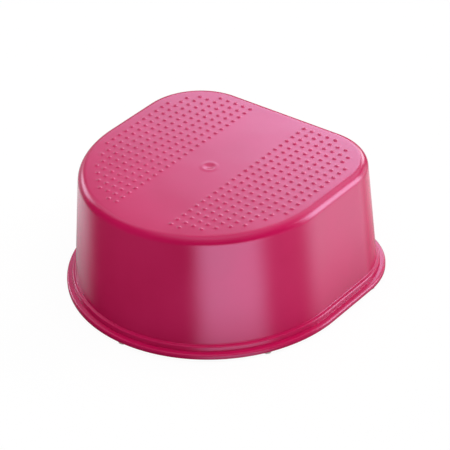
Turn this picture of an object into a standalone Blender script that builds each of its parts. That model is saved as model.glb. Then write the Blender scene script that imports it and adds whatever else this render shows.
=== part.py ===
"""Child's moulded plastic step stool: a one-piece hollow shell on six soft anti-slip feet.

Frame: metres, +Z up, origin on the floor at the centre of the footprint.
+X is the width, the deck's rounded end faces -Y and its straight end faces +Y.
"""
import bmesh
import bpy
from math import atan, cos, hypot, pi, radians, sin, tan
from mathutils import Matrix

MM = 0.001

# Driving dimensions of the deck (the standing surface), before its edge is rounded
DECK_WIDTH = 268.4 * MM
DECK_DEPTH = 266.4 * MM
DECK_ABOVE_RIM = 129.9 * MM
CORNER_RADIUS = 65.2 * MM
EDGE_RADIUS = 9.9 * MM
DECK_THICKNESS = 3.0 * MM
WALL_THICKNESS = 2.8 * MM
WALL_DRAFT = radians(4.8)

# Stepped rim round the foot of the wall: (outwards from the wall's foot, above the rim's base, fillet)
RIM_HEIGHT = 11.4 * MM
RIM_SHOULDER = (3.5 * MM, 11.0 * MM, 1.2 * MM)
RIM_STEP = (4.0 * MM, 5.4 * MM, 0.5 * MM)
RIM_LIP = (9.6 * MM, 5.0 * MM, 2.2 * MM)
WALL_FOOT_FILLET = 0.8 * MM
RIM_UNDERCUT = (1.4 * MM, 8.0 * MM, 0.8 * MM)
RIM_BASE_INNER = 3.8 * MM

# Anti-slip studs, moulded in two fields either side of a smooth centre band
STUD_PITCH = 10.0 * MM
STUD_RADIUS = 2.0 * MM
STUD_HEIGHT = 1.0 * MM
STUD_SIDES = 6
FIRST_STUD_X = 35.0 * MM
FIRST_STUD_Y = 5.0 * MM
STUD_EDGE_MARGIN = 16.0 * MM
STUD_CORNER_MARGIN = 16.5 * MM

# Gate dimple at the middle of the deck
DIMPLE_RADIUS = 7.0 * MM
DIMPLE_FLOOR_RADIUS = 3.0 * MM
DIMPLE_DEPTH = 0.8 * MM
DIMPLE_SIDES = 20

# Stiffening ribs under the deck
RIB_THICKNESS = 2.0 * MM
RIB_DEPTH = 10.0 * MM
RIB_PLACES = (-90.0 * MM, -30.0 * MM, 30.0 * MM, 90.0 * MM)

# Feet: round pads seated in shallow recesses in the rim's base, each backed by a boss
FOOT_STAND_OFF = 3.0 * MM
FOOT_RADIUS = 5.0 * MM
FOOT_SEAT_DEPTH = 1.2 * MM
FOOT_EDGE_RADIUS = 0.9 * MM
FOOT_TOP_CHAMFER = 0.3 * MM
FOOT_FROM_RIM_EDGE = 1.0 * MM
FOOT_BEARING = radians(59.0)
FOOT_SIDES = 20
BOSS_RADIUS = 6.7 * MM
BOSS_HEIGHT = 10.0 * MM
FIT_GAP = 0.3 * MM

# Facets
FRONT_STEPS = 40
CORNER_STEPS = 10
EDGE_STEPS = 5
FILLET_STEPS = 2
OVERRUN = 5.0 * MM

# Derived sizes
RIM_BASE = FOOT_STAND_OFF
DECK_Z = RIM_BASE + DECK_ABOVE_RIM
HALF_WIDTH = DECK_WIDTH / 2
BACK_Y = DECK_DEPTH / 2
FRONT_CENTRE_Y = HALF_WIDTH - BACK_Y
CORNER_CENTRE = (HALF_WIDTH - CORNER_RADIUS, BACK_Y - CORNER_RADIUS)
WALL_FOOT_OFFSET = (DECK_ABOVE_RIM - RIM_HEIGHT) * tan(WALL_DRAFT)
RIM_EDGE_OFFSET = WALL_FOOT_OFFSET + RIM_LIP[0]
FOOT_OFFSET = RIM_EDGE_OFFSET - FOOT_FROM_RIM_EDGE - FOOT_RADIUS


def clear_scene():
    for obj in list(bpy.data.objects):
        bpy.data.objects.remove(obj, do_unlink=True)


def make_collection(name):
    collection = bpy.data.collections.new(name)
    bpy.context.scene.collection.children.link(collection)
    return collection


def make_material(name, colour, roughness):
    material = bpy.data.materials.new(name)
    material.use_nodes = True
    shader = material.node_tree.nodes["Principled BSDF"]
    shader.inputs["Base Color"].default_value = (*colour, 1.0)
    shader.inputs["Roughness"].default_value = roughness
    shader.inputs["Metallic"].default_value = 0.0
    material.diffuse_color = (*colour, 1.0)
    return material


def object_from_bmesh(bm, name, collection):
    mesh = bpy.data.meshes.new(name)
    bm.to_mesh(mesh)
    bm.free()
    obj = bpy.data.objects.new(name, mesh)
    collection.objects.link(obj)
    return obj


def as_cutter(obj):
    obj.hide_render = True
    obj.display_type = "WIRE"
    return obj


def add_boolean(obj, tool, operation):
    modifier = obj.modifiers.new(f"{operation.title()} {tool.name}", "BOOLEAN")
    modifier.operation = operation
    modifier.solver = "EXACT"
    modifier.object = tool


def arc_points(centre, radius, start, stop, steps):
    angles = [start + (stop - start) * i / steps for i in range(steps + 1)]
    return [(centre[0] + radius * cos(a), centre[1] + radius * sin(a)) for a in angles]


def deck_outline(offset):
    """The D-shaped outline moved outwards by offset: front half-circle, two straight sides, back corners."""
    radius = CORNER_RADIUS + offset
    left_corner = (-CORNER_CENTRE[0], CORNER_CENTRE[1])
    front = arc_points((0.0, FRONT_CENTRE_Y), HALF_WIDTH + offset, -pi, 0.0, FRONT_STEPS)
    right_back = arc_points(CORNER_CENTRE, radius, 0.0, pi / 2, CORNER_STEPS)
    left_back = arc_points(left_corner, radius, pi / 2, pi, CORNER_STEPS)
    return front + right_back + left_back


def inside_margin(x, y):
    """Distance from a point of the deck in to the outline, positive inside."""
    if y < FRONT_CENTRE_Y:
        return HALF_WIDTH - hypot(x, y - FRONT_CENTRE_Y)
    beyond_x = abs(x) - CORNER_CENTRE[0]
    beyond_y = y - CORNER_CENTRE[1]
    if beyond_x > 0 and beyond_y > 0:
        return CORNER_RADIUS - hypot(beyond_x, beyond_y)
    return min(HALF_WIDTH - abs(x), BACK_Y - y)


def fillet(before, corner, after, radius, steps):
    """Points of an arc that rounds the corner between two straight runs of a profile."""
    leg_in = hypot(before[0] - corner[0], before[1] - corner[1])
    leg_out = hypot(after[0] - corner[0], after[1] - corner[1])
    u = ((before[0] - corner[0]) / leg_in, (before[1] - corner[1]) / leg_in)
    v = ((after[0] - corner[0]) / leg_out, (after[1] - corner[1]) / leg_out)
    cross = abs(u[0] * v[1] - u[1] * v[0])
    half_angle = atan(cross / (1.0 + u[0] * v[0] + u[1] * v[1]))
    to_centre = radius / sin(half_angle)
    bisector = (u[0] + v[0], u[1] + v[1])
    length = hypot(*bisector)
    centre = (corner[0] + bisector[0] / length * to_centre, corner[1] + bisector[1] / length * to_centre)
    tangent = radius / tan(half_angle)
    ends = [(corner[0] + d[0] * tangent - centre[0], corner[1] + d[1] * tangent - centre[1]) for d in (u, v)]
    sweep = pi - 2 * half_angle
    points = []
    for i in range(steps + 1):
        share = i / steps
        first = sin((1 - share) * sweep) / sin(sweep)
        second = sin(share * sweep) / sin(sweep)
        points.append((centre[0] + first * ends[0][0] + second * ends[1][0],
                       centre[1] + first * ends[0][1] + second * ends[1][1]))
    return points


def rounded_profile(corners):
    """Round each inner corner of [(offset, height, radius, steps)]; the first point only gives a direction."""
    points = []
    for before, corner, after in zip(corners, corners[1:], corners[2:]):
        points += fillet(before, corner, after, corner[2], corner[3])
    points.append(corners[-1][:2])
    return points


def rim_point(place, steps=FILLET_STEPS):
    """A rim corner, given from the wall's foot and the rim's base, as a profile corner."""
    return (WALL_FOOT_OFFSET + place[0], RIM_BASE + place[1], place[2], steps)


def outer_profile():
    return rounded_profile([
        (-CORNER_RADIUS, DECK_Z, 0.0, 0),
        (0.0, DECK_Z, EDGE_RADIUS, EDGE_STEPS),
        rim_point((0.0, RIM_HEIGHT, WALL_FOOT_FILLET)),
        rim_point(RIM_SHOULDER),
        rim_point(RIM_STEP),
        rim_point(RIM_LIP),
        rim_point((RIM_LIP[0], 0.0, 0.0)),
    ])


def cavity_profile():
    undercut_z = RIM_BASE + RIM_UNDERCUT[1]
    ceiling_z = DECK_Z - DECK_THICKNESS
    wall_top = DECK_THICKNESS * tan(WALL_DRAFT) - WALL_THICKNESS
    wall_bottom = wall_top + (ceiling_z - undercut_z) * tan(WALL_DRAFT)
    return rounded_profile([
        (-CORNER_RADIUS, ceiling_z, 0.0, 0),
        (wall_top, ceiling_z, EDGE_RADIUS - WALL_THICKNESS, EDGE_STEPS - 1),
        (wall_bottom, undercut_z, RIM_UNDERCUT[2], FILLET_STEPS),
        rim_point(RIM_UNDERCUT, 1),
        (WALL_FOOT_OFFSET + RIM_BASE_INNER, RIM_BASE, RIM_UNDERCUT[2], 1),
        (WALL_FOOT_OFFSET + RIM_BASE_INNER, RIM_BASE - OVERRUN, 0.0, 0),
    ])


def loft_down(profile, name, collection):
    """Closed solid whose cross-section at each profile point is the outline moved out by its offset."""
    bm = bmesh.new()
    rings = []
    for offset, height in profile:
        rings.append([bm.verts.new((x, y, height)) for x, y in deck_outline(offset)])
    for upper, lower in zip(rings, rings[1:]):
        count = len(upper)
        for i in range(count):
            j = (i + 1) % count
            bm.faces.new((upper[i], lower[i], lower[j], upper[j]))
    bm.faces.new(rings[0])
    bm.faces.new(list(reversed(rings[-1])))
    return object_from_bmesh(bm, name, collection)


def stud_places():
    count = int(HALF_WIDTH / STUD_PITCH) + 1
    for side in (-1, 1):
        for column in range(count):
            for row in range(-count, count):
                x = side * (FIRST_STUD_X + column * STUD_PITCH)
                y = FIRST_STUD_Y + row * STUD_PITCH
                by_corner = abs(x) > CORNER_CENTRE[0] and y > CORNER_CENTRE[1]
                margin = STUD_CORNER_MARGIN if by_corner else STUD_EDGE_MARGIN
                if inside_margin(x, y) >= margin:
                    yield x, y


def make_studs(collection):
    """All the studs as low cones whose lower part sinks into the deck."""
    bm = bmesh.new()
    sunk_radius = STUD_RADIUS * 1.5
    sunk_depth = STUD_HEIGHT * (sunk_radius / STUD_RADIUS - 1.0)
    middle_z = DECK_Z + (STUD_HEIGHT - sunk_depth) / 2
    for x, y in stud_places():
        bmesh.ops.create_cone(bm, cap_ends=True, segments=STUD_SIDES, radius1=sunk_radius, radius2=0.0,
                              depth=STUD_HEIGHT + sunk_depth, matrix=Matrix.Translation((x, y, middle_z)))
    return as_cutter(object_from_bmesh(bm, "studs", collection))


def make_dimple(collection):
    bm = bmesh.new()
    slope = (DIMPLE_RADIUS - DIMPLE_FLOOR_RADIUS) / DIMPLE_DEPTH
    top_radius = DIMPLE_RADIUS + slope * DIMPLE_DEPTH
    bmesh.ops.create_cone(bm, cap_ends=True, segments=DIMPLE_SIDES, radius1=DIMPLE_FLOOR_RADIUS,
                          radius2=top_radius, depth=2 * DIMPLE_DEPTH, matrix=Matrix.Translation((0, 0, DECK_Z)))
    return as_cutter(object_from_bmesh(bm, "gate_dimple", collection))


def make_ribs(name, along_x, collection):
    """One set of parallel ribs, running past the cavity's walls and up into the deck."""
    bm = bmesh.new()
    length = 2 * (HALF_WIDTH + RIM_EDGE_OFFSET)
    height = RIB_DEPTH + DECK_THICKNESS / 2
    middle_z = DECK_Z - DECK_THICKNESS / 2 - height / 2
    for place in RIB_PLACES:
        size = (length, RIB_THICKNESS, height) if along_x else (RIB_THICKNESS, length, height)
        centre = (0.0, place, middle_z) if along_x else (place, 0.0, middle_z)
        bmesh.ops.create_cube(bm, size=1.0, matrix=Matrix.Translation(centre) @ Matrix.Diagonal((*size, 1.0)))
    return as_cutter(object_from_bmesh(bm, name, collection))


def foot_places():
    """Named foot centres: front and back on the centre line, and four on a matching bearing."""
    radius = HALF_WIDTH + FOOT_OFFSET
    side_x = radius * sin(FOOT_BEARING)
    side_y = radius * cos(FOOT_BEARING) - FRONT_CENTRE_Y
    corner_reach = CORNER_RADIUS + FOOT_OFFSET
    back_x = CORNER_CENTRE[0] + (corner_reach ** 2 - (side_y - CORNER_CENTRE[1]) ** 2) ** 0.5
    return {
        "foot_front": (0.0, FRONT_CENTRE_Y - radius),
        "foot_front_left": (-side_x, -side_y),
        "foot_front_right": (side_x, -side_y),
        "foot_rear_left": (-back_x, side_y),
        "foot_rear_right": (back_x, side_y),
        "foot_rear": (0.0, BACK_Y + FOOT_OFFSET),
    }


def make_columns(name, radius, top_above_rim, collection):
    """One cylinder at each foot, from below the rim's base up to a height above it."""
    bm = bmesh.new()
    depth = top_above_rim + OVERRUN
    middle_z = RIM_BASE + top_above_rim - depth / 2
    for x, y in foot_places().values():
        bmesh.ops.create_cone(bm, cap_ends=True, segments=FOOT_SIDES, radius1=radius, radius2=radius,
                              depth=depth, matrix=Matrix.Translation((x, y, middle_z)))
    return as_cutter(object_from_bmesh(bm, name, collection))


def make_cavity(collection):
    cavity = loft_down(cavity_profile(), "cavity", collection)
    add_boolean(cavity, make_ribs("ribs_across", True, collection), "DIFFERENCE")
    add_boolean(cavity, make_ribs("ribs_along", False, collection), "DIFFERENCE")
    add_boolean(cavity, make_columns("foot_bosses", BOSS_RADIUS, BOSS_HEIGHT, collection), "DIFFERENCE")
    return as_cutter(cavity)


def make_shell(parts, cutters):
    shell = loft_down(outer_profile(), "stool_shell", parts)
    add_boolean(shell, make_cavity(cutters), "DIFFERENCE")
    add_boolean(shell, make_studs(cutters), "UNION")
    add_boolean(shell, make_dimple(cutters), "DIFFERENCE")
    recesses = make_columns("foot_recesses", FOOT_RADIUS + FIT_GAP, FOOT_SEAT_DEPTH + FIT_GAP, cutters)
    add_boolean(shell, recesses, "DIFFERENCE")
    shell.data.materials.append(make_material("raspberry_plastic", (0.60, 0.06, 0.17), 0.32))
    return shell


def foot_profile():
    """Half section of a foot from its seat down to its tread, about its own axis."""
    top = FOOT_STAND_OFF + FOOT_SEAT_DEPTH
    flat_radius = FOOT_RADIUS - FOOT_EDGE_RADIUS
    tread_edge = arc_points((flat_radius, FOOT_EDGE_RADIUS), FOOT_EDGE_RADIUS, 0.0, -pi / 2, 2)
    seat = [(0.0, top), (FOOT_RADIUS - FOOT_TOP_CHAMFER, top), (FOOT_RADIUS, top - FOOT_TOP_CHAMFER)]
    return seat + tread_edge + [(0.0, 0.0)]


def make_foot(name, place, material, collection):
    bm = bmesh.new()
    verts = [bm.verts.new((r, 0.0, z)) for r, z in foot_profile()]
    for upper, lower in zip(verts, verts[1:]):
        bm.edges.new((upper, lower))
    foot = object_from_bmesh(bm, name, collection)
    foot.location = (*place, 0.0)
    turn = foot.modifiers.new("Turned", "SCREW")
    turn.steps = FOOT_SIDES
    turn.render_steps = FOOT_SIDES
    turn.use_merge_vertices = True
    turn.merge_threshold = 0.0001 * MM
    foot.data.materials.append(material)
    return foot


def smooth_round_faces(obj, sharp_angle):
    obj.data.shade_smooth()
    obj.data.set_sharp_from_angle(angle=sharp_angle)


def build_stool():
    clear_scene()
    parts = make_collection("step_stool")
    cutters = make_collection("cutters")
    shell = make_shell(parts, cutters)
    smooth_round_faces(shell, radians(35.0))
    rubber = make_material("foot_rubber", (0.78, 0.74, 0.70), 0.6)
    for name, place in foot_places().items():
        make_foot(name, place, rubber, parts)


build_stool()
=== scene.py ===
"""Looks of the moulded plastic step stool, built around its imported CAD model.

The shell is rebuilt finely on the CAD shell's outline and profile, with true domed studs, a soft gate
dimple and finer fillets. Six turned pads stand for the CAD feet. Units are metres.
"""
from math import atan, atan2, cos, hypot, pi, radians, sin, tan

import bmesh
import bpy
from mathutils import Matrix, Quaternion, Vector
from mathutils.geometry import delaunay_2d_cdt


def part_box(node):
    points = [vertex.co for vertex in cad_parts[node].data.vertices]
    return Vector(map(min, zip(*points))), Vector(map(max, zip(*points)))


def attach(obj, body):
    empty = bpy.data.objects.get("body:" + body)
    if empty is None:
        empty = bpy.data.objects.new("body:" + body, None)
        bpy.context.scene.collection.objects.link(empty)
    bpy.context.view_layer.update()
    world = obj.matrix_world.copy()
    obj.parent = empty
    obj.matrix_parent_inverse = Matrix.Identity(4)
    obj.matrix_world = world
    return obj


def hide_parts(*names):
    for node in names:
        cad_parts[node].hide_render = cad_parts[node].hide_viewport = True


MM = 0.001

# Shape of the moulding: the CAD shell's sizes, except for the fillets of RIM_SHOULDER and RIM_STEP. Rim
# corners are (outwards from the wall's foot, above the rim's base, fillet).
EDGE_RADIUS = 9.9 * MM
DECK_THICKNESS = 3.0 * MM
WALL_THICKNESS = 2.8 * MM
WALL_DRAFT = radians(4.8)
CORNER_RADIUS = 65.2 * MM
RIM_HEIGHT = 11.4 * MM
WALL_FOOT_FILLET = 0.8 * MM
RIM_SHOULDER = (3.5 * MM, 11.0 * MM, 1.5 * MM)
RIM_STEP = (4.0 * MM, 5.4 * MM, 0.15 * MM)
RIM_LIP = (9.6 * MM, 5.0 * MM, 2.2 * MM)
RIM_UNDERCUT = (1.4 * MM, 8.0 * MM, 0.8 * MM)
RIM_BASE_INNER = 3.8 * MM
RIM_BASE_BREAK = 0.3 * MM

# Studs, on the CAD's places and as high, but a little wider at the foot
STUD_PITCH = 10.0 * MM
STUD_RADIUS = 2.3 * MM
STUD_HEIGHT = 1.0 * MM
STUD_FOOT = 0.55 * MM
FIRST_STUD_X = 35.0 * MM
FIRST_STUD_Y = 5.0 * MM
STUD_EDGE_MARGIN = 16.0 * MM
STUD_CORNER_MARGIN = 16.5 * MM
STUD_SIDES = 20
STUD_RINGS = 5
LOWEST_STUD_RING = 0.45

# Gate dimple, as wide as the CAD's, with a low raised collar round it that the CAD leaves out
DIMPLE_RADIUS = 7.0 * MM
DIMPLE_DEPTH = 0.7 * MM
DIMPLE_COLLAR = 0.2 * MM
DIMPLE_SPREAD = 11.5 * MM
DIMPLE_FLATNESS = 1.3
DIMPLE_SIDES = 48
DIMPLE_RINGS = 14

# Underside
RIB_THICKNESS = 2.0 * MM
RIB_DEPTH = 10.0 * MM
RIB_PLACES = (-90.0 * MM, -30.0 * MM, 30.0 * MM, 90.0 * MM)
BOSS_RADIUS = 6.7 * MM
BOSS_HEIGHT = 10.0 * MM
FIT_GAP = 0.3 * MM
OVERRUN = 5.0 * MM

# Depths that part the outside of the moulding from its core side, and how far a face's normal must tilt
# up or down to count
PAST_WALL = 0.6 * WALL_THICKNESS
PAST_DECK = 0.9 * DECK_THICKNESS
PAST_BEAD = 0.7 * RIM_SHOULDER[0]
UNDER_BEAD = RIM_UNDERCUT[1] + 0.5 * MM
UNDER_LIP = RIM_LIP[1] - 1.0 * MM
TILT = 0.2

# Soft pads
FEET = ("foot_front", "foot_front_left", "foot_front_right", "foot_rear_left", "foot_rear_right", "foot_rear")
PAD_CHAMFER = 0.3 * MM
PAD_EDGE = 0.9 * MM
PAD_EDGE_STEPS = 8
PAD_GROOVE_DEPTH = 0.25 * MM
PAD_GROOVE_MIDDLE = 0.50
PAD_GROOVE_HALF_WIDTH = 0.12
PAD_GROOVE_SHARES = (0.62, 0.56, 0.50, 0.44, 0.38)

# Fineness
FRONT_STEPS = 120
CORNER_STEPS = 32
EDGE_STEPS = 14
FILLET_STEPS = 5
FOOT_SIDES = 48
SHELL_CREASE = radians(38.0)
PAD_CREASE = radians(50.0)
SAME_PLACE = 0.01 * MM
LEVEL_NORMAL = 0.999

# Colours of the plastics and of the pads
PEARL_COLOURS = ((0.54, 0.004, 0.080, 1.0), (0.58, 0.005, 0.090, 1.0))
PEARL_FLAKE = (0.80, 0.08, 0.32, 1.0)
PEARL_SHEEN = (0.50, 0.66, 1.0, 1.0)
CORE_COLOURS = ((0.58, 0.015, 0.090, 1.0), (0.62, 0.019, 0.100, 1.0))
PAD_COLOURS = ((0.70, 0.64, 0.58, 1.0), (0.82, 0.77, 0.72, 1.0))
WHITE = (1.0, 1.0, 1.0, 1.0)

# Camera: azimuth from +X, elevation, and the turn about its own axis
CAMERA_TARGET = Vector((10.85, 8.74, 60.98)) * MM
CAMERA_DISTANCE = 2.18925
CAMERA_AZIMUTH = radians(-51.15)
CAMERA_ELEVATION = radians(33.53)
CAMERA_ROLL = radians(-1.917)
CAMERA_LENS = 169.47
CAMERA_SENSOR = 36.0
CAMERA_CLIP_END = 50.0

# Soft boxes of the studio as the stool sees them: azimuth from +X and elevation of the middle, half width
# and half height, softness across and along the border, all in degrees, then brightness
SOFT_BOXES = (
    ("right_box", 45.0, 14.0, 14.0, 17.0, 8.0, 7.0, 6.8),
    ("right_upper_box", 65.0, 38.0, 30.0, 8.0, 14.0, 8.0, 1.3),
    ("right_card", 50.0, -34.0, 16.0, 30.0, 10.0, 10.0, 1.85),
    ("right_fill_card", 10.0, -28.0, 24.0, 28.0, 8.0, 10.0, 0.32),
    ("front_card", -37.0, -32.0, 26.0, 36.0, 10.0, 8.0, 3.4),
    ("backdrop", 129.0, -44.0, 58.0, 30.0, 14.0, 14.0, 0.83),
    ("left_card", 160.0, -22.0, 20.0, 32.0, 14.0, 14.0, 0.22),
    ("back_box", 142.0, 12.0, 44.0, 17.0, 8.0, 6.0, 0.35),
    ("back_corner_box", 102.0, 18.0, 9.0, 9.0, 5.0, 5.0, 5.0),
    ("back_side_card", 74.0, 5.0, 11.0, 15.0, 8.0, 8.0, 1.5),
    ("left_box", 170.0, 22.0, 12.0, 10.0, 5.0, 6.0, 4.2),
    ("upper_back_box", 122.0, 50.0, 62.0, 13.0, 24.0, 10.0, 1.25),
    ("top_box", 60.0, 86.0, 180.0, 17.0, 1.0, 8.0, 0.75),
)
AMBIENT = 0.02

# Share of the soft boxes' light that reaches surfaces other than as a reflection
DIFFUSE_SHARE = 0.6

# Card behind the stool whose shaded face is what the deck mirrors
CARD_AZIMUTH = radians(129.0)
CARD_ELEVATION = radians(30.0)
CARD_DISTANCE = 0.8
CARD_SIZE = (0.70, 0.36)
CARD_LEVEL = 2.05
CARD_TINT = (0.96, 0.96, 1.12, 1.0)
CARD_SIDE_RAMP = 6.6
CARD_UP_RAMP = -9.3
CARD_DIMMEST = 0.5
CARD_BRIGHTEST = 4.5

# Lamps that model the form without adding a reflection: direction and strength
LAMP_SPREAD = radians(70.0)
LAMPS = (
    ("key", radians(-45.0), radians(76.0), 1.98),
    ("fill", radians(-110.0), radians(30.0), 0.14),
)

# Floor, with its shades by distance from the footprint: a wide soft one and a narrow one at the rim
FLOOR_HALF_SIDE = 6.0
FLOOR_PAINT = (0.06, 0.06, 0.06, 1.0)
FLOOR_BRIGHTNESS = 0.94
FLOOR_BOUNCE = 0.85
FLOOR_SHADE = 0.55
FLOOR_SHADE_RANGE = (-0.02, 0.13)
CONTACT_SHADE = 0.75
CONTACT_RANGE = (0.004, 0.020)
FOOTPRINT_RADIUS = 0.153
FOOTPRINT_FRONT_POWER = 2.0
FOOTPRINT_BACK_POWER = 4.0


class ShellSizes:
    """The shell's driving places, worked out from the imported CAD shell's box."""

    def __init__(self):
        low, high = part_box("stool_shell")
        self.rim_base = low[2]
        self.deck_z = high[2] - STUD_HEIGHT
        self.foot_offset = (self.deck_z - self.rim_base - RIM_HEIGHT) * tan(WALL_DRAFT)
        rim_edge = self.foot_offset + RIM_LIP[0]
        self.half_width = high[0] - rim_edge
        self.back_y = high[1] - rim_edge
        self.front_centre_y = self.half_width - self.back_y
        self.corner = (self.half_width - CORNER_RADIUS, self.back_y - CORNER_RADIUS)


def arc_points(centre, radius, start, stop, steps):
    angles = [start + (stop - start) * i / steps for i in range(steps + 1)]
    return [(centre[0] + radius * cos(a), centre[1] + radius * sin(a)) for a in angles]


def circle(centre, radius, sides):
    angles = [2 * pi * k / sides for k in range(sides)]
    return [(centre[0] + radius * cos(a), centre[1] + radius * sin(a)) for a in angles]


def outline(sizes, offset):
    """The D-shaped deck outline moved outwards by offset."""
    radius = CORNER_RADIUS + offset
    left_corner = (-sizes.corner[0], sizes.corner[1])
    front = arc_points((0.0, sizes.front_centre_y), sizes.half_width + offset, -pi, 0.0, FRONT_STEPS)
    right_back = arc_points(sizes.corner, radius, 0.0, pi / 2, CORNER_STEPS)
    left_back = arc_points(left_corner, radius, pi / 2, pi, CORNER_STEPS)
    return front + right_back + left_back


def depth_inside(sizes, x, y):
    """Distance from a point of the deck in to the outline, positive inside."""
    if y < sizes.front_centre_y:
        return sizes.half_width - hypot(x, y - sizes.front_centre_y)
    beyond_x = abs(x) - sizes.corner[0]
    beyond_y = y - sizes.corner[1]
    if beyond_x > 0 and beyond_y > 0:
        return CORNER_RADIUS - hypot(beyond_x, beyond_y)
    return min(sizes.half_width - abs(x), sizes.back_y - y)


def fillet(before, corner, after, radius, steps):
    """Points of an arc that rounds the corner between two straight runs of a profile."""
    here = Vector(corner[:2])
    u = (Vector(before[:2]) - here).normalized()
    v = (Vector(after[:2]) - here).normalized()
    half_angle = atan(abs(u.cross(v)) / (1.0 + u.dot(v)))
    centre = here + (u + v).normalized() * radius / sin(half_angle)
    tangent = radius / tan(half_angle)
    first_arm = here + u * tangent - centre
    last_arm = here + v * tangent - centre
    sweep = pi - 2 * half_angle
    points = []
    for i in range(steps + 1):
        share = i / steps
        arm = (first_arm * sin((1 - share) * sweep) + last_arm * sin(share * sweep)) / sin(sweep)
        points.append(tuple(centre + arm))
    return points


def rounded_profile(corners):
    """Round each inner corner of [(offset, height, radius, steps)].

    The first point only gives a direction.
    """
    points = []
    for before, corner, after in zip(corners, corners[1:], corners[2:]):
        points += fillet(before, corner, after, corner[2], corner[3])
    points.append(tuple(corners[-1][:2]))
    return points


def rim_corner(sizes, place):
    return (sizes.foot_offset + place[0], sizes.rim_base + place[1], place[2], FILLET_STEPS)


def outer_profile(sizes):
    inside_base = (RIM_LIP[0] - EDGE_RADIUS, 0.0, 0.0)
    return rounded_profile([
        (-CORNER_RADIUS, sizes.deck_z, 0.0, 0),
        (0.0, sizes.deck_z, EDGE_RADIUS, EDGE_STEPS),
        rim_corner(sizes, (0.0, RIM_HEIGHT, WALL_FOOT_FILLET)),
        rim_corner(sizes, RIM_SHOULDER),
        rim_corner(sizes, RIM_STEP),
        rim_corner(sizes, RIM_LIP),
        rim_corner(sizes, (RIM_LIP[0], 0.0, RIM_BASE_BREAK)),
        rim_corner(sizes, inside_base),
    ])


def cavity_profile(sizes):
    undercut_z = sizes.rim_base + RIM_UNDERCUT[1]
    ceiling_z = sizes.deck_z - DECK_THICKNESS
    wall_top = DECK_THICKNESS * tan(WALL_DRAFT) - WALL_THICKNESS
    wall_bottom = wall_top + (ceiling_z - undercut_z) * tan(WALL_DRAFT)
    lip_inside = sizes.foot_offset + RIM_BASE_INNER
    return rounded_profile([
        (-CORNER_RADIUS, ceiling_z, 0.0, 0),
        (wall_top, ceiling_z, EDGE_RADIUS - WALL_THICKNESS, EDGE_STEPS),
        (wall_bottom, undercut_z, RIM_UNDERCUT[2], FILLET_STEPS),
        rim_corner(sizes, RIM_UNDERCUT),
        (lip_inside, sizes.rim_base, RIM_BASE_BREAK, FILLET_STEPS),
        (lip_inside, sizes.rim_base - OVERRUN, 0.0, 0),
    ])


def link_mesh(bm, name):
    mesh = bpy.data.meshes.new(name)
    bm.to_mesh(mesh)
    bm.free()
    obj = bpy.data.objects.new(name, mesh)
    bpy.context.scene.collection.objects.link(obj)
    return obj


def join_rings(bm, upper, lower):
    count = len(upper)
    for i in range(count):
        j = (i + 1) % count
        bm.faces.new((upper[i], lower[i], lower[j], upper[j]))


def skin_rings(bm, rings):
    """Closed surface over a stack of vertex rings, from the top one down."""
    for upper, lower in zip(rings, rings[1:]):
        join_rings(bm, upper, lower)
    bm.faces.new(rings[0])
    bm.faces.new(list(reversed(rings[-1])))


def loft_down(sizes, profile, name):
    """Closed solid whose cross-section at each profile point is the outline moved out by its offset."""
    bm = bmesh.new()
    rings = []
    for offset, height in profile:
        rings.append([bm.verts.new((x, y, height)) for x, y in outline(sizes, offset)])
    skin_rings(bm, rings)
    return link_mesh(bm, name)


def apply_boolean(obj, tool, operation):
    """Cut or join once, keep the result as the object's mesh, and drop the tool."""
    modifier = obj.modifiers.new("Cut", "BOOLEAN")
    modifier.operation = operation
    modifier.solver = "EXACT"
    modifier.object = tool
    depsgraph = bpy.context.evaluated_depsgraph_get()
    result = bpy.data.meshes.new_from_object(obj.evaluated_get(depsgraph))
    obj.modifiers.clear()
    obj.data = result
    bpy.data.objects.remove(tool, do_unlink=True)


def make_ribs(sizes, along_x):
    bm = bmesh.new()
    length = 4 * sizes.half_width
    height = RIB_DEPTH + DECK_THICKNESS / 2
    middle_z = sizes.deck_z - DECK_THICKNESS / 2 - height / 2
    for place in RIB_PLACES:
        size = (length, RIB_THICKNESS, height) if along_x else (RIB_THICKNESS, length, height)
        centre = (0.0, place, middle_z) if along_x else (place, 0.0, middle_z)
        matrix = Matrix.Translation(centre) @ Matrix.Diagonal((*size, 1.0))
        bmesh.ops.create_cube(bm, size=1.0, matrix=matrix)
    return link_mesh(bm, "ribs")


class FootSizes:
    """One foot's axis, radius and height, worked out from the CAD foot's box."""

    def __init__(self, node):
        low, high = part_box(node)
        self.centre = ((low[0] + high[0]) / 2, (low[1] + high[1]) / 2)
        self.radius = (high[0] - low[0]) / 2
        self.bottom = low[2]
        self.top = high[2]


def make_columns(sizes, beyond_foot, top):
    """One cylinder over each foot, from below the rim up to top."""
    bm = bmesh.new()
    bottom = sizes.rim_base - OVERRUN
    for node in FEET:
        foot = FootSizes(node)
        radius = foot.radius + beyond_foot
        matrix = Matrix.Translation((*foot.centre, (top + bottom) / 2))
        bmesh.ops.create_cone(bm, cap_ends=True, segments=FOOT_SIDES, radius1=radius, radius2=radius,
                              depth=top - bottom, matrix=matrix)
    return link_mesh(bm, "columns")


def make_cavity(sizes):
    cavity = loft_down(sizes, cavity_profile(sizes), "cavity")
    apply_boolean(cavity, make_ribs(sizes, True), "DIFFERENCE")
    apply_boolean(cavity, make_ribs(sizes, False), "DIFFERENCE")
    beyond_foot = BOSS_RADIUS - FootSizes(FEET[0]).radius
    bosses = make_columns(sizes, beyond_foot, sizes.rim_base + BOSS_HEIGHT)
    apply_boolean(cavity, bosses, "DIFFERENCE")
    return cavity


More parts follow.
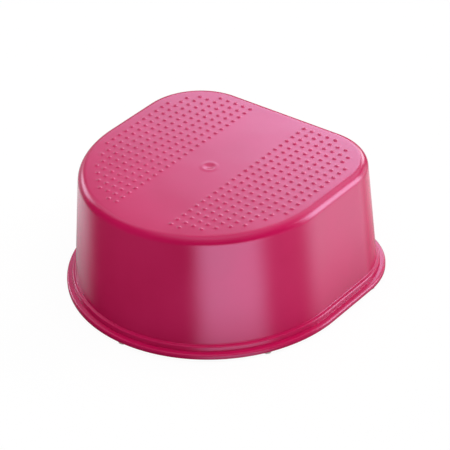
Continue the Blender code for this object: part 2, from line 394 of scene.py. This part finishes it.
def stud_places(sizes):
    count = int(sizes.half_width / STUD_PITCH) + 1
    places = []
    for side in (-1, 1):
        for column in range(count):
            for row in range(-count, count):
                x = side * (FIRST_STUD_X + column * STUD_PITCH)
                y = FIRST_STUD_Y + row * STUD_PITCH
                by_corner = abs(x) > sizes.corner[0] and y > sizes.corner[1]
                margin = STUD_CORNER_MARGIN if by_corner else STUD_EDGE_MARGIN
                if depth_inside(sizes, x, y) >= margin:
                    places.append((x, y))
    return places


def stud_rings():
    """(radius, height) of a stud from its filleted foot up to just below its crown."""
    ball = (STUD_RADIUS ** 2 + STUD_HEIGHT ** 2) / (2 * STUD_HEIGHT)
    steepest = atan2(STUD_RADIUS, ball - STUD_HEIGHT)
    rings = [(STUD_RADIUS + STUD_FOOT, 0.0)]
    for i in range(STUD_RINGS):
        angle = steepest * (1 - (i + LOWEST_STUD_RING) / STUD_RINGS)
        rings.append((ball * sin(angle), STUD_HEIGHT - ball * (1 - cos(angle))))
    return rings


def dimple_height(radius):
    """Height of the gate dimple's surface at a distance from its axis, above the deck."""
    if radius >= DIMPLE_RADIUS:
        share = (radius - DIMPLE_RADIUS) / (DIMPLE_SPREAD - DIMPLE_RADIUS)
        return DIMPLE_COLLAR * (0.5 + 0.5 * cos(pi * min(share, 1.0)))
    share = (radius / DIMPLE_RADIUS) ** DIMPLE_FLATNESS
    return DIMPLE_COLLAR - (DIMPLE_DEPTH + DIMPLE_COLLAR) * (0.5 + 0.5 * cos(pi * share))


def dimple_rings():
    radii = [DIMPLE_SPREAD * (1 - i / DIMPLE_RINGS) for i in range(1, DIMPLE_RINGS)]
    return [(radius, dimple_height(radius)) for radius in radii]


def add_dome(bm, centre, base, rings, crown_z, deck_z):
    """Faces from a ring of deck vertices up (or down) through rings to a crown vertex."""
    sides = len(base)
    previous = base
    for radius, height in rings:
        ring = [bm.verts.new((x, y, deck_z + height)) for x, y in circle(centre, radius, sides)]
        join_rings(bm, ring, previous)
        previous = ring
    crown = bm.verts.new((centre[0], centre[1], deck_z + crown_z))
    for k in range(sides):
        bm.faces.new((previous[k], previous[(k + 1) % sides], crown))


def deck_grid(sizes):
    """Points between the studs that keep the deck's triangles even."""
    count = int(sizes.half_width / STUD_PITCH) + 1
    points = []
    for column in range(-count, count + 1):
        for row in range(-count, count + 1):
            x = column * STUD_PITCH
            y = row * STUD_PITCH
            clear_of_edge = depth_inside(sizes, x, y) > EDGE_RADIUS + STUD_RADIUS
            if clear_of_edge and hypot(x, y) > DIMPLE_SPREAD + STUD_RADIUS:
                points.append((x, y))
    return points


def deck_loops(sizes, places):
    """Loops that bound the deck's flat: its outline, then each stud's foot, then the dimple."""
    edge_offset = outer_profile(sizes)[0][0]
    foot = stud_rings()[0][0]
    loops = [outline(sizes, edge_offset)]
    loops += [circle(place, foot, STUD_SIDES) for place in places]
    loops.append(circle((0.0, 0.0), DIMPLE_SPREAD, DIMPLE_SIDES))
    return loops


def fill_flat(bm, loops, loose_points, height):
    """Triangulate within the first loop, leave the others open, and return each point's vertex."""
    points = []
    edges = []
    loop_of = []
    for number, loop in enumerate(loops):
        start = len(points)
        points += [Vector(p) for p in loop]
        edges += [(start + k, start + (k + 1) % len(loop)) for k in range(len(loop))]
        loop_of += [number] * len(loop)
    points += [Vector(p) for p in loose_points]
    loop_of += [-1] * len(loose_points)
    flat, _, faces, origins, _, _ = delaunay_2d_cdt(points, edges, [], 1, 1e-9)
    source = [o[0] for o in origins]
    verts = {}
    for index, place in enumerate(flat):
        verts[source[index]] = bm.verts.new((place[0], place[1], height))
    for face in faces:
        corners = [source[i] for i in face]
        owners = {loop_of[c] for c in corners}
        in_inner_loop = len(owners) == 1 and owners.pop() > 0
        if not in_inner_loop:
            bm.faces.new([verts[c] for c in corners])
    return verts


def add_studded_deck(bm, sizes):
    """The deck's flat with the studs' domes and the gate dimple on it."""
    places = stud_places(sizes)
    loops = deck_loops(sizes, places)
    verts = fill_flat(bm, loops, deck_grid(sizes), sizes.deck_z)
    start = len(loops[0])
    for place in places:
        base = [verts[start + k] for k in range(STUD_SIDES)]
        add_dome(bm, place, base, stud_rings()[1:], STUD_HEIGHT, sizes.deck_z)
        start += STUD_SIDES
    base = [verts[start + k] for k in range(DIMPLE_SIDES)]
    add_dome(bm, (0.0, 0.0), base, dimple_rings(), dimple_height(0.0), sizes.deck_z)


def is_deck_top(face, deck_z):
    level = all(abs(v.co.z - deck_z) < SAME_PLACE for v in face.verts)
    return level and face.normal.z > LEVEL_NORMAL


def replace_flat_deck(shell, sizes):
    """Swap the plain top face for the studded deck and close the seam between them."""
    bm = bmesh.new()
    bm.from_mesh(shell.data)
    tops = [face for face in bm.faces if is_deck_top(face, sizes.deck_z)]
    bmesh.ops.delete(bm, geom=tops, context="FACES_ONLY")
    add_studded_deck(bm, sizes)
    bmesh.ops.remove_doubles(bm, verts=bm.verts, dist=SAME_PLACE)
    bm.to_mesh(shell.data)
    bm.free()


def is_core_side(sizes, centre, normal):
    """Whether a face of the shell belongs to the cavity or to the underside."""
    below_deck = sizes.deck_z - centre.z
    above_base = centre.z - sizes.rim_base
    depth = depth_inside(sizes, centre.x, centre.y)
    past_wall = depth + below_deck * tan(WALL_DRAFT) > PAST_WALL and below_deck > PAST_DECK
    on_deck_edge = below_deck < EDGE_RADIUS and normal.z > TILT
    in_bead = depth + sizes.foot_offset > -PAST_BEAD and above_base < UNDER_BEAD
    in_lip = depth + sizes.foot_offset > RIM_LIP[2] - RIM_LIP[0] and above_base < UNDER_LIP
    return normal.z < -TILT or in_bead or in_lip or (past_wall and not on_deck_edge)


def inner_faces_second_slot(shell, sizes):
    """The mould's core side is duller, so its faces take the second material slot."""
    for polygon in shell.data.polygons:
        if is_core_side(sizes, polygon.center, polygon.normal):
            polygon.material_index = 1


def finish_surface(obj, sharp_angle):
    obj.data.shade_smooth()
    obj.data.set_sharp_from_angle(angle=sharp_angle)
    weighted = obj.modifiers.new("Weighted normals", "WEIGHTED_NORMAL")
    weighted.keep_sharp = True


def make_shell(sizes):
    shell = loft_down(sizes, outer_profile(sizes), "stool_body")
    apply_boolean(shell, make_cavity(sizes), "DIFFERENCE")
    seat_top = FootSizes(FEET[0]).top + FIT_GAP
    apply_boolean(shell, make_columns(sizes, FIT_GAP, seat_top), "DIFFERENCE")
    replace_flat_deck(shell, sizes)
    shell.data.materials.clear()
    shell.data.materials.append(pearl_plastic())
    shell.data.materials.append(core_side_plastic())
    inner_faces_second_slot(shell, sizes)
    finish_surface(shell, SHELL_CREASE)
    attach(shell, "root")
    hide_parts("stool_shell")


def pad_profile(foot):
    """(radius, height) from the pad's top down its side, round its tread edge and across a ring groove."""
    profile = [(foot.radius - PAD_CHAMFER, foot.top), (foot.radius, foot.top - PAD_CHAMFER)]
    edge_centre = (foot.radius - PAD_EDGE, foot.bottom + PAD_EDGE)
    profile += arc_points(edge_centre, PAD_EDGE, 0.0, -pi / 2, PAD_EDGE_STEPS)
    for share in PAD_GROOVE_SHARES:
        off_middle = abs(share - PAD_GROOVE_MIDDLE) / PAD_GROOVE_HALF_WIDTH
        dip = PAD_GROOVE_DEPTH * max(0.0, 1 - off_middle)
        profile.append((foot.radius * share, foot.bottom + dip))
    return profile


def make_foot(node, material):
    """A turned soft pad in place of one CAD foot."""
    foot = FootSizes(node)
    bm = bmesh.new()
    rings = []
    for radius, height in pad_profile(foot):
        rings.append([bm.verts.new((x, y, height)) for x, y in circle(foot.centre, radius, FOOT_SIDES)])
    skin_rings(bm, rings)
    pad = link_mesh(bm, node.replace("foot", "pad"))
    pad.data.materials.append(material)
    finish_surface(pad, PAD_CREASE)
    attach(pad, "root")
    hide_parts(node)


class Nodes:
    """Short helper that adds and wires the nodes of one tree."""

    def __init__(self, tree):
        self.tree = tree

    def add(self, kind, **inputs):
        node = self.tree.nodes.new(kind)
        for key, value in inputs.items():
            self.feed(node.inputs[key.replace("_", " ")], value)
        return node

    def feed(self, socket, value):
        if isinstance(value, bpy.types.NodeSocket):
            self.tree.links.new(value, socket)
        else:
            socket.default_value = value

    def math(self, operation, *values):
        node = self.tree.nodes.new("ShaderNodeMath")
        node.operation = operation
        for socket, value in zip(node.inputs, values):
            self.feed(socket, value)
        return node.outputs[0]

    def mix_shader(self, factor, first, second):
        node = self.tree.nodes.new("ShaderNodeMixShader")
        for socket, value in zip(node.inputs, (factor, first, second)):
            self.feed(socket, value)
        return node.outputs[0]

    def smooth_range(self, value, low, high, to_low=0.0, to_high=1.0):
        node = self.tree.nodes.new("ShaderNodeMapRange")
        node.interpolation_type = "SMOOTHSTEP"
        for place, item in enumerate((value, low, high, to_low, to_high)):
            self.feed(node.inputs[place], item)
        return node.outputs[0]

    def noise(self, vector, scale, detail):
        node = self.add("ShaderNodeTexNoise", Scale=scale, Detail=detail)
        self.feed(node.inputs["Vector"], vector)
        return node.outputs["Fac"]

    def mix_colour(self, factor, a, b):
        node = self.tree.nodes.new("ShaderNodeMix")
        node.data_type = "RGBA"
        self.feed(node.inputs[0], factor)
        self.feed(node.inputs[6], a)
        self.feed(node.inputs[7], b)
        return node.outputs[2]


def new_material(name):
    material = bpy.data.materials.new(name)
    material.use_nodes = True
    nodes = Nodes(material.node_tree)
    shader = material.node_tree.nodes["Principled BSDF"]
    place = nodes.add("ShaderNodeTexCoord").outputs["Object"]
    return material, nodes, shader, place


def bare_nodes(block):
    """The node tree of a material or a world, emptied."""
    block.use_nodes = True
    block.node_tree.nodes.clear()
    return Nodes(block.node_tree)


def set_surface(nodes, shader, colour, roughness, **bump):
    nodes.feed(shader.inputs["Base Color"], colour)
    nodes.feed(shader.inputs["Roughness"], roughness)
    nodes.feed(shader.inputs["Normal"], nodes.add("ShaderNodeBump", **bump).outputs[0])


def pearl_plastic():
    """Raspberry polypropylene with a pearl pigment: cloudy tone and gloss, fine flakes, slow waves."""
    material, nodes, shader, place = new_material("raspberry_pearl_plastic")
    cloud = nodes.noise(place, scale=14.0, detail=3.0)
    flakes = nodes.noise(place, scale=2600.0, detail=1.0)
    waves = nodes.noise(place, scale=22.0, detail=1.0)
    base = nodes.mix_colour(nodes.smooth_range(cloud, 0.3, 0.7), *PEARL_COLOURS)
    flaked = nodes.smooth_range(flakes, 0.62, 0.80, to_low=0.0, to_high=0.08)
    base = nodes.mix_colour(flaked, base, PEARL_FLAKE)
    roughness = nodes.smooth_range(cloud, 0.2, 0.8, to_low=0.20, to_high=0.25)
    set_surface(nodes, shader, base, roughness, Strength=0.16, Distance=0.002, Height=waves)
    nodes.feed(shader.inputs["Metallic"], 0.03)
    nodes.feed(shader.inputs["IOR"], 1.50)
    nodes.feed(shader.inputs["Specular IOR Level"], 0.80)
    nodes.feed(shader.inputs["Specular Tint"], PEARL_SHEEN)
    return material


def core_side_plastic():
    """The same plastic where the mould's core left it dull and finely grained."""
    material, nodes, shader, place = new_material("raspberry_core_side_plastic")
    grain = nodes.noise(place, scale=900.0, detail=3.0)
    cloud = nodes.noise(place, scale=18.0, detail=2.0)
    base = nodes.mix_colour(cloud, *CORE_COLOURS)
    roughness = nodes.smooth_range(grain, 0.3, 0.7, to_low=0.48, to_high=0.60)
    set_surface(nodes, shader, base, roughness, Strength=0.15, Distance=0.0002, Height=grain)
    nodes.feed(shader.inputs["IOR"], 1.5)
    return material


def foot_rubber():
    """Milky soft elastomer."""
    material, nodes, shader, place = new_material("milky_foot_elastomer")
    grain = nodes.noise(place, scale=1500.0, detail=3.0)
    base = nodes.mix_colour(grain, *PAD_COLOURS)
    roughness = nodes.smooth_range(grain, 0.3, 0.7, to_low=0.42, to_high=0.58)
    set_surface(nodes, shader, base, roughness, Strength=0.2, Distance=0.0001, Height=grain)
    nodes.feed(shader.inputs["Subsurface Weight"], 0.25)
    nodes.feed(shader.inputs["Subsurface Scale"], 0.003)
    return material


def soft_box(nodes, azimuth, elevation, box):
    """Brightness of one soft box in the direction given by azimuth and elevation."""
    _, middle, height, half_width, half_height, side_border, end_border, strength = box
    turned = nodes.math("WRAP", nodes.math("SUBTRACT", azimuth, middle), 180.0, -180.0)
    across = nodes.math("ABSOLUTE", turned)
    along = nodes.math("ABSOLUTE", nodes.math("SUBTRACT", elevation, height))
    in_width = nodes.smooth_range(across, half_width - side_border, half_width + side_border, 1.0, 0.0)
    in_height = nodes.smooth_range(along, half_height - end_border, half_height + end_border, 1.0, 0.0)
    return nodes.math("MULTIPLY", nodes.math("MULTIPLY", in_width, in_height), strength)


def boxes_light(nodes):
    """Brightness of all the soft boxes in the direction being looked up."""
    direction = nodes.add("ShaderNodeTexCoord").outputs["Generated"]
    axes = nodes.add("ShaderNodeSeparateXYZ", Vector=direction).outputs
    azimuth = nodes.math("MULTIPLY", nodes.math("ARCTAN2", axes[1], axes[0]), 180.0 / pi)
    elevation = nodes.math("MULTIPLY", nodes.math("ARCSINE", axes[2]), 180.0 / pi)
    total = AMBIENT
    for box in SOFT_BOXES:
        total = nodes.math("ADD", total, soft_box(nodes, azimuth, elevation, box))
    return total


def make_world():
    """Soft boxes for the stool to mirror; plain white to the camera."""
    world = bpy.data.worlds.new("studio")
    bpy.context.scene.world = world
    nodes = bare_nodes(world)
    path = nodes.add("ShaderNodeLightPath").outputs
    share = nodes.math("MULTIPLY_ADD", path["Is Diffuse Ray"], DIFFUSE_SHARE - 1.0, 1.0)
    level = nodes.math("MULTIPLY", boxes_light(nodes), share)
    lit = nodes.add("ShaderNodeBackground", Color=WHITE, Strength=level)
    seen = nodes.add("ShaderNodeBackground", Color=WHITE, Strength=1.0)
    surface = nodes.mix_shader(path["Is Camera Ray"], lit.outputs[0], seen.outputs[0])
    nodes.add("ShaderNodeOutputWorld", Surface=surface)


def direction_to(azimuth, elevation):
    return Vector((cos(elevation) * cos(azimuth), cos(elevation) * sin(azimuth), sin(elevation)))


def make_lamp(name, azimuth, elevation, strength):
    """A very soft lamp that makes no reflection of its own."""
    data = bpy.data.lights.new(name, "SUN")
    data.angle = LAMP_SPREAD
    data.energy = strength
    lamp = bpy.data.objects.new(name, data)
    bpy.context.scene.collection.objects.link(lamp)
    lamp.rotation_mode = "QUATERNION"
    lamp.rotation_quaternion = direction_to(azimuth, elevation).to_track_quat("Z", "Y")
    lamp.visible_glossy = False


def make_plane(name, half_side, material):
    bm = bmesh.new()
    bmesh.ops.create_grid(bm, x_segments=1, y_segments=1, size=half_side)
    plane = link_mesh(bm, name)
    plane.data.materials.append(material)
    plane.visible_shadow = False
    return plane


def card_material():
    """Glow that ramps along the card's two sides."""
    material = bpy.data.materials.new("card_light")
    nodes = bare_nodes(material)
    place = nodes.add("ShaderNodeTexCoord").outputs["Object"]
    axes = nodes.add("ShaderNodeSeparateXYZ", Vector=place).outputs
    level = nodes.math("MULTIPLY_ADD", axes[0], CARD_SIDE_RAMP * CARD_SIZE[0], CARD_LEVEL)
    level = nodes.math("MULTIPLY_ADD", axes[1], CARD_UP_RAMP * CARD_SIZE[1], level)
    level = nodes.math("MINIMUM", nodes.math("MAXIMUM", level, CARD_DIMMEST), CARD_BRIGHTEST)
    glow = nodes.add("ShaderNodeEmission", Color=CARD_TINT, Strength=level)
    nodes.add("ShaderNodeOutputMaterial", Surface=glow.outputs[0])
    return material


def make_card(deck_z):
    """Glowing card that is seen only in reflections."""
    card = make_plane("back_card", 0.5, card_material())
    towards = direction_to(CARD_AZIMUTH, CARD_ELEVATION)
    side = Vector((sin(CARD_AZIMUTH), -cos(CARD_AZIMUTH), 0.0))
    up = side.cross(towards)
    card.location = Vector((0.0, 0.0, deck_z)) + towards * CARD_DISTANCE
    card.rotation_mode = "QUATERNION"
    card.rotation_quaternion = Matrix((side, up, side.cross(up))).transposed().to_quaternion()
    card.scale = (CARD_SIZE[0], CARD_SIZE[1], 1.0)
    card.visible_camera = False
    card.visible_diffuse = False


def distance_from_footprint(nodes, place):
    """Distance outside the D-shaped footprint: round towards -Y, squarer towards +Y."""
    axes = nodes.add("ShaderNodeSeparateXYZ", Vector=place).outputs
    behind = nodes.math("GREATER_THAN", axes[1], 0.0)
    extra = FOOTPRINT_BACK_POWER - FOOTPRINT_FRONT_POWER
    power = nodes.math("MULTIPLY_ADD", behind, extra, FOOTPRINT_FRONT_POWER)
    across = nodes.math("POWER", nodes.math("ABSOLUTE", axes[0]), power)
    along = nodes.math("POWER", nodes.math("ABSOLUTE", axes[1]), power)
    reach = nodes.math("POWER", nodes.math("ADD", across, along), nodes.math("DIVIDE", 1.0, power))
    return nodes.math("SUBTRACT", reach, FOOTPRINT_RADIUS)


def shade_by_stool(nodes):
    """How much the stool darkens the floor, by distance from its footprint."""
    place = nodes.add("ShaderNodeTexCoord").outputs["Object"]
    distance = distance_from_footprint(nodes, place)
    wide = nodes.smooth_range(distance, *FLOOR_SHADE_RANGE, to_low=FLOOR_SHADE, to_high=0.0)
    narrow = nodes.smooth_range(distance, *CONTACT_RANGE, to_low=CONTACT_SHADE, to_high=0.0)
    return nodes.math("MAXIMUM", wide, narrow)


def floor_as_seen(nodes):
    """White with faint shadows."""
    paint = nodes.add("ShaderNodeBsdfDiffuse", Color=FLOOR_PAINT)
    glow = nodes.add("ShaderNodeEmission", Strength=FLOOR_BRIGHTNESS)
    both = nodes.add("ShaderNodeAddShader")
    nodes.feed(both.inputs[0], paint.outputs[0])
    nodes.feed(both.inputs[1], glow.outputs[0])
    return both.outputs[0]


def floor_material():
    """White to the camera; to the stool it is a bounce card that darkens towards the stool's foot.

    Reflections see the studio through it, and it is clear from below to show the underside.
    """
    material = bpy.data.materials.new("pale_floor")
    nodes = bare_nodes(material)
    shade = shade_by_stool(nodes)
    bounce_level = nodes.math("MULTIPLY", nodes.math("SUBTRACT", 1.0, shade), FLOOR_BOUNCE)
    bounce = nodes.add("ShaderNodeEmission", Strength=bounce_level)
    clear = nodes.add("ShaderNodeBsdfTransparent")
    dark = nodes.add("ShaderNodeEmission", Strength=0.0)
    path = nodes.add("ShaderNodeLightPath").outputs
    mirrored = nodes.mix_shader(shade, clear.outputs[0], dark.outputs[0])
    unseen = nodes.mix_shader(path["Is Glossy Ray"], bounce.outputs[0], mirrored)
    surface = nodes.mix_shader(path["Is Camera Ray"], unseen, floor_as_seen(nodes))
    from_below = nodes.add("ShaderNodeNewGeometry").outputs["Backfacing"]
    surface = nodes.mix_shader(from_below, surface, clear.outputs[0])
    nodes.add("ShaderNodeOutputMaterial", Surface=surface)
    return material


def make_floor():
    make_plane("floor", FLOOR_HALF_SIDE, floor_material())


def make_camera():
    data = bpy.data.cameras.new("camera")
    data.sensor_width = CAMERA_SENSOR
    data.lens = CAMERA_LENS
    data.clip_end = CAMERA_CLIP_END
    camera = bpy.data.objects.new("camera", data)
    bpy.context.scene.collection.objects.link(camera)
    away = direction_to(CAMERA_AZIMUTH, CAMERA_ELEVATION)
    level = (-away).to_track_quat("-Z", "Y")
    camera.location = CAMERA_TARGET + away * CAMERA_DISTANCE
    camera.rotation_mode = "QUATERNION"
    camera.rotation_quaternion = level @ Quaternion((0.0, 0.0, 1.0), CAMERA_ROLL)
    bpy.context.scene.camera = camera


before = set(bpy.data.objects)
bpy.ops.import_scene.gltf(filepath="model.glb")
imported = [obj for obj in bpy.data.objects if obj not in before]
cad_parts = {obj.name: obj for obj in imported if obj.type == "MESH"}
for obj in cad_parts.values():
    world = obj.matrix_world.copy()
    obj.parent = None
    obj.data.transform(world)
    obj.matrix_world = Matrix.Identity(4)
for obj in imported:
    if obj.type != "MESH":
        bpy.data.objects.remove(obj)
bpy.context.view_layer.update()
shell_sizes = ShellSizes()
make_shell(shell_sizes)
rubber = foot_rubber()
for foot_node in FEET:
    make_foot(foot_node, rubber)
make_world()
for lamp in LAMPS:
    make_lamp(*lamp)
make_card(shell_sizes.deck_z)
make_floor()
make_camera()
bpy.context.scene.view_settings.view_transform = "Standard"
